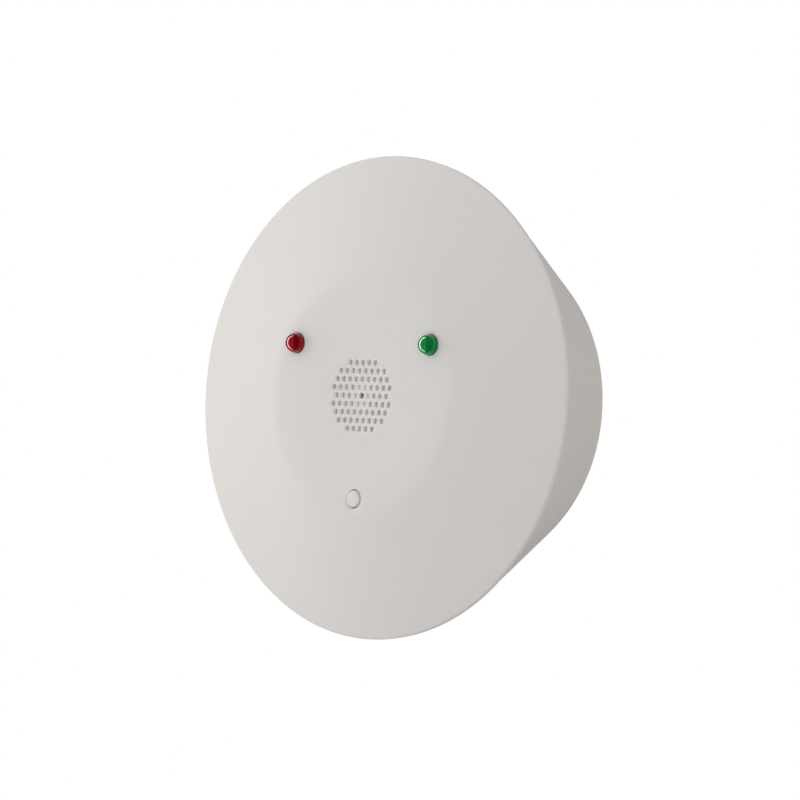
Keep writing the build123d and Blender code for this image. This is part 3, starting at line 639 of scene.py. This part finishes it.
def metal_skin_group():
    """Drawn or plated metal: fine streaks along one axis and slow tarnish.

    Streaks are noise squeezed twenty times along Y. Colour fades to the tarnish colour where slow
    noise is high. Roughness is the base value plus streaks and tarnish."""
    group, source, sink = shader_group(
        "metal_skin",
        [
            ("Colour", "NodeSocketColor", (0.6, 0.6, 0.6, 1)),
            ("Tarnish Colour", "NodeSocketColor", (0.4, 0.4, 0.4, 1)),
            ("Roughness", "NodeSocketFloat", 0.3),
            ("Streaks", "NodeSocketFloat", 0.2),
        ],
        [("Colour", "NodeSocketColor"), ("Roughness", "NodeSocketFloat"), ("Normal", "NodeSocketVector")],
    )
    links = group.links
    where = group.nodes.new("ShaderNodeTexCoord").outputs["Object"]
    squeeze = group.nodes.new("ShaderNodeVectorMath")
    squeeze.operation = "MULTIPLY"
    squeeze.inputs[1].default_value = (1.0, 0.05, 1.0)
    links.new(where, squeeze.inputs[0])
    streak = noise(group, squeeze.outputs[0], 5000.0, 2.0, 0.6)
    slow = noise(group, where, 350.0, 3.0, 0.6)
    tarnish = maths(group, "POWER", slow, 3.0)
    mix = group.nodes.new("ShaderNodeMix")
    mix.data_type = "RGBA"
    links.new(maths(group, "MULTIPLY", tarnish, 2.0), mix.inputs["Factor"])
    links.new(source.outputs["Colour"], mix.inputs["A"])
    links.new(source.outputs["Tarnish Colour"], mix.inputs["B"])
    links.new(mix.outputs["Result"], sink.inputs["Colour"])
    lines = maths(group, "MULTIPLY", maths(group, "SUBTRACT", streak, 0.5), source.outputs["Streaks"])
    rough = maths(group, "ADD", source.outputs["Roughness"], maths(group, "ADD", lines, tarnish))
    links.new(rough, sink.inputs["Roughness"])
    bump = group.nodes.new("ShaderNodeBump")
    bump.inputs["Distance"].default_value = 0.00001
    links.new(source.outputs["Streaks"], bump.inputs["Strength"])
    links.new(streak, bump.inputs["Height"])
    links.new(bump.outputs[0], sink.inputs["Normal"])
    return group


def plated_metal(name, skin, colour, tarnish, roughness, streaks=0.2):
    """Metal with the shared skin."""
    material, tree, shader = plain_material(name)
    group = tree.nodes.new("ShaderNodeGroup")
    group.node_tree = skin
    group.inputs["Colour"].default_value = (*colour, 1)
    group.inputs["Tarnish Colour"].default_value = (*tarnish, 1)
    group.inputs["Roughness"].default_value = roughness
    group.inputs["Streaks"].default_value = streaks
    tree.links.new(group.outputs["Colour"], shader.inputs["Base Color"])
    tree.links.new(group.outputs["Roughness"], shader.inputs["Roughness"])
    tree.links.new(group.outputs["Normal"], shader.inputs["Normal"])
    shader.inputs["Metallic"].default_value = 1.0
    return material


def two_tone(name, low, high, mask, roughness, bump_depth, build_mask, metallic=0.0):
    """A material of two colours mixed by a mask that build_mask(tree, where) makes, which also
    raises the surface by bump_depth metres; mask is (low edge, high edge) of its ramp."""
    material, tree, shader = plain_material(name)
    where = tree.nodes.new("ShaderNodeTexCoord").outputs["Object"]
    pattern = build_mask(tree, where)
    ramp = tree.nodes.new("ShaderNodeMapRange")
    tree.links.new(pattern, ramp.inputs["Value"])
    ramp.inputs["From Min"].default_value, ramp.inputs["From Max"].default_value = mask
    tint = tree.nodes.new("ShaderNodeMix")
    tint.data_type = "RGBA"
    tint.inputs["A"].default_value = (*low, 1)
    tint.inputs["B"].default_value = (*high, 1)
    tree.links.new(ramp.outputs[0], tint.inputs["Factor"])
    tree.links.new(tint.outputs["Result"], shader.inputs["Base Color"])
    speck = noise(tree, where, 3000.0, 2.0, 0.6)
    rough = maths(tree, "ADD", roughness, maths(tree, "MULTIPLY", speck, 0.15))
    tree.links.new(rough, shader.inputs["Roughness"])
    bump = tree.nodes.new("ShaderNodeBump")
    bump.inputs["Distance"].default_value = bump_depth
    bump.inputs["Strength"].default_value = 0.6
    height = maths(tree, "ADD", ramp.outputs[0], maths(tree, "MULTIPLY", speck, 0.2))
    tree.links.new(height, bump.inputs["Height"])
    tree.links.new(bump.outputs[0], shader.inputs["Normal"])
    shader.inputs["Metallic"].default_value = metallic
    return material


def woven(tree, where):
    """Threads crossing over and under, as the product of a sine wave of x and one of z."""
    axes = tree.nodes.new("ShaderNodeSeparateXYZ")
    tree.links.new(where, axes.inputs[0])
    waves = [
        maths(tree, "SINE", maths(tree, "MULTIPLY", axes.outputs[axis], THREAD_FREQUENCY))
        for axis in ("X", "Z")
    ]
    return maths(tree, "MULTIPLY", *waves)


def wound(tree, where):
    """Turns of wire side by side along Y, with a little unevenness."""
    axes = tree.nodes.new("ShaderNodeSeparateXYZ")
    tree.links.new(where, axes.inputs[0])
    shift = maths(tree, "MULTIPLY", noise(tree, where, 500.0), 2.0)
    turns = maths(tree, "MULTIPLY", axes.outputs["Y"], WIRE_FREQUENCY)
    return maths(tree, "SINE", maths(tree, "ADD", turns, shift))


def traced(tree, where):
    """Bands of copper tracks under the board's mask, from the edges of large cells."""
    cells = tree.nodes.new("ShaderNodeTexVoronoi")
    cells.distance = "MANHATTAN"
    cells.feature = "F1"
    cells.inputs["Scale"].default_value = 260.0
    tree.links.new(where, cells.inputs["Vector"])
    return maths(tree, "SINE", maths(tree, "MULTIPLY", cells.outputs["Distance"], 22.0))


def spotted(scale):
    """A mask of soft spots of a given scale, for sintered, foamed and fired surfaces."""
    return lambda tree, where: noise(tree, where, scale, 3.0, 0.65)


def give(material, *names):
    """Puts a material on CAD nodes."""
    for name in names:
        mesh = nodes[name].data
        mesh.materials.clear()
        mesh.materials.append(material)


# ---------------------------------------------------------------- build


skin = moulded_skin_group()
metal = metal_skin_group()
cover_plastic = moulded_plastic(
    "cover_plastic", skin, (0.79, 0.757, 0.745), (0.83, 0.81, 0.79), 0.46, subsurface=0.25
)
housing_plastic = moulded_plastic(
    "housing_plastic", skin, (0.79, 0.745, 0.705), (0.83, 0.80, 0.77), 0.46, subsurface=0.25
)
plate_plastic = moulded_plastic("plate_plastic", skin, (0.78, 0.745, 0.71), (0.83, 0.80, 0.77), 0.50)
# A lighter copy of the cover plastic for the grille hole walls: painted light that lifts the shade inside the
# holes.
painted_light_bore_plastic = moulded_plastic("painted_light_bore_plastic", skin, (0.96, 0.93, 0.91), (0.96, 0.94, 0.92), 0.5)
button_plastic = moulded_plastic(
    "button_plastic", skin, (0.82, 0.79, 0.75), (0.86, 0.84, 0.81), 0.34, grain=9000.0, depth=0.05
)
black_plastic = moulded_plastic("black_plastic", skin, (0.025, 0.025, 0.027), (0.06, 0.06, 0.06), 0.45)
chip_epoxy = moulded_plastic(
    "chip_epoxy", skin, (0.02, 0.02, 0.021), (0.05, 0.05, 0.05), 0.6, grain=9000.0, depth=0.3
)
red_pvc = moulded_plastic("red_pvc", skin, (0.42, 0.012, 0.012), (0.5, 0.03, 0.03), 0.35)
black_pvc = moulded_plastic("black_pvc", skin, (0.02, 0.02, 0.02), (0.05, 0.05, 0.05), 0.35)
header_nylon = moulded_plastic("header_nylon", skin, (0.66, 0.62, 0.52), (0.72, 0.69, 0.6), 0.4)
battery_paint = moulded_plastic(
    "battery_paint", skin, (0.05, 0.08, 0.13), (0.35, 0.35, 0.36), 0.28, mottle=0.1
)
red_resin = lamp_resin("red_resin", (0.22, 0.002, 0.006), (0.17, 0.001, 0.004), (1.0, 0.02, 0.05))
green_resin = lamp_resin("green_resin", (0.002, 0.21, 0.06), (0.003, 0.15, 0.035), (0.10, 1.0, 0.22))
zinc_steel = plated_metal("zinc_steel", metal, (0.62, 0.61, 0.58), (0.40, 0.38, 0.33), 0.28)
tinned_metal = plated_metal("tinned_metal", metal, (0.72, 0.71, 0.68), (0.45, 0.44, 0.42), 0.32)
brass = plated_metal("brass", metal, (0.78, 0.57, 0.24), (0.45, 0.28, 0.12), 0.25, streaks=0.35)
can_aluminium = plated_metal("can_aluminium", metal, (0.75, 0.75, 0.76), (0.5, 0.5, 0.5), 0.3)
screen_cloth = two_tone(
    "screen_cloth", (0.84, 0.81, 0.78), (0.93, 0.91, 0.89), (-0.6, 0.6), 0.8, 0.00001, woven
)
copper_winding = two_tone(
    "copper_winding", (0.20, 0.05, 0.02), (0.72, 0.32, 0.16), (-1, 0.6), 0.2, 0.0001, wound, 0.9
)
board_mask = two_tone(
    "board_mask", (0.008, 0.09, 0.04), (0.02, 0.16, 0.07), (0.2, 0.5), 0.22, 0.00002, traced
)
ceramic = two_tone(
    "ceramic", (0.52, 0.51, 0.48), (0.70, 0.69, 0.66), (0.35, 0.65), 0.45, 0.00001, spotted(900.0)
)
ferrite = two_tone(
    "ferrite", (0.03, 0.03, 0.032), (0.07, 0.07, 0.073), (0.35, 0.65), 0.55, 0.00002, spotted(2500.0)
)
foam = two_tone(
    "foam", (0.012, 0.012, 0.012), (0.06, 0.06, 0.06), (0.42, 0.6), 0.8, 0.0002, spotted(1800.0)
)
chip_body = two_tone(
    "chip_body", (0.35, 0.24, 0.15), (0.62, 0.60, 0.57), (0.4, 0.6), 0.4, 0.00002, spotted(500.0)
)
floor_paint = two_tone(
    "floor_paint", (0.78, 0.77, 0.76), (0.82, 0.815, 0.81), (0.3, 0.7), 0.6, 0.0001, spotted(12.0)
)

cover_points, cover_faces = front_cover()
cover = make_piece("cover_shell", cover_points, cover_faces, "housing", ["front_cover"])
cover.data.materials.append(cover_plastic)
# The second slot is the lighter copy with painted light, for the walls of the grille holes.
cover.data.materials.append(painted_light_bore_plastic)
mark_grille_bores(cover.data, 1)

for colour, resin in (("red", red_resin), ("green", green_resin)):
    x, z = station(STATION_R, LAMP_ANGLES[colour])
    profile = [(0, -LAMP_PROUD - LAMP_R)] + arc_points(0, -LAMP_PROUD, LAMP_R, 3, 90, 24)
    seat = LAMP_TAIL - LAMP_FLANGE
    profile += [(LAMP_R, seat - 0.1), (LAMP_R, seat), (LAMP_FLANGE_R, seat), (LAMP_FLANGE_R, seat + 0.08)]
    profile += [(LAMP_FLANGE_R, LAMP_TAIL - 0.08), (LAMP_FLANGE_R, LAMP_TAIL), (0, LAMP_TAIL)]
    points, faces = turned(profile, x, z)
    lamp = make_piece(f"{colour}_lamp_lens", points, faces, "housing", [f"{colour}_lamp"])
    lamp.data.materials.append(resin)

x, z = station(STATION_R, BUTTON_ANGLE)
profile = [(0, -BUTTON_PROUD)]
profile += arc_points(BUTTON_R - BUTTON_ROUND, BUTTON_ROUND - BUTTON_PROUD, BUTTON_ROUND, 0, 90, 8)
profile += [(BUTTON_R, BUTTON_CAP_REAR), (BUTTON_COLLAR_R, BUTTON_CAP_REAR)]
profile += [(BUTTON_COLLAR_R, BUTTON_COLLAR_REAR), (BUTTON_STEM_R, BUTTON_COLLAR_REAR)]
profile += [(BUTTON_STEM_R, BUTTON_STEM_REAR), (0, BUTTON_STEM_REAR)]
points, faces = turned(profile, x, z)
button = make_piece("button_cap", points, faces, "button", ["test_button"])
button.data.materials.append(button_plastic)

give(housing_plastic, "rear_housing")
give(plate_plastic, "wall_plate", "tamper_pin")
give(screen_cloth, "dust_screen")
give(black_plastic, "sounder_case", "sounder_back", "red_lamp_spacer", "green_lamp_spacer", "snap_connector")
give(black_plastic, "test_switch_body", "tamper_switch_body")
give(plate_plastic, "test_switch_plunger", "tamper_switch_plunger")
give(foam, "sounder_gasket")
give(zinc_steel, "housing_screws")
give(tinned_metal, "test_switch_terminals", "controller_pins", "battery_studs")
give(tinned_metal, "red_lamp_leads", "green_lamp_leads")
give(brass, "sounder_diaphragm", "sounder_pins")
give(ceramic, "sounder_ceramic")
give(board_mask, "main_board")
give(chip_epoxy, "controller_chip")
give(can_aluminium, "storage_capacitor")
give(ferrite, "drive_coil")
give(copper_winding, "coil_winding")
give(chip_body, "chip_parts")
give(battery_paint, "battery")
give(red_pvc, "positive_lead")
give(black_pvc, "negative_lead")
give(header_nylon, "lead_header")

studio_floor().data.materials.append(floor_paint)
place_camera()
light_the_studio()
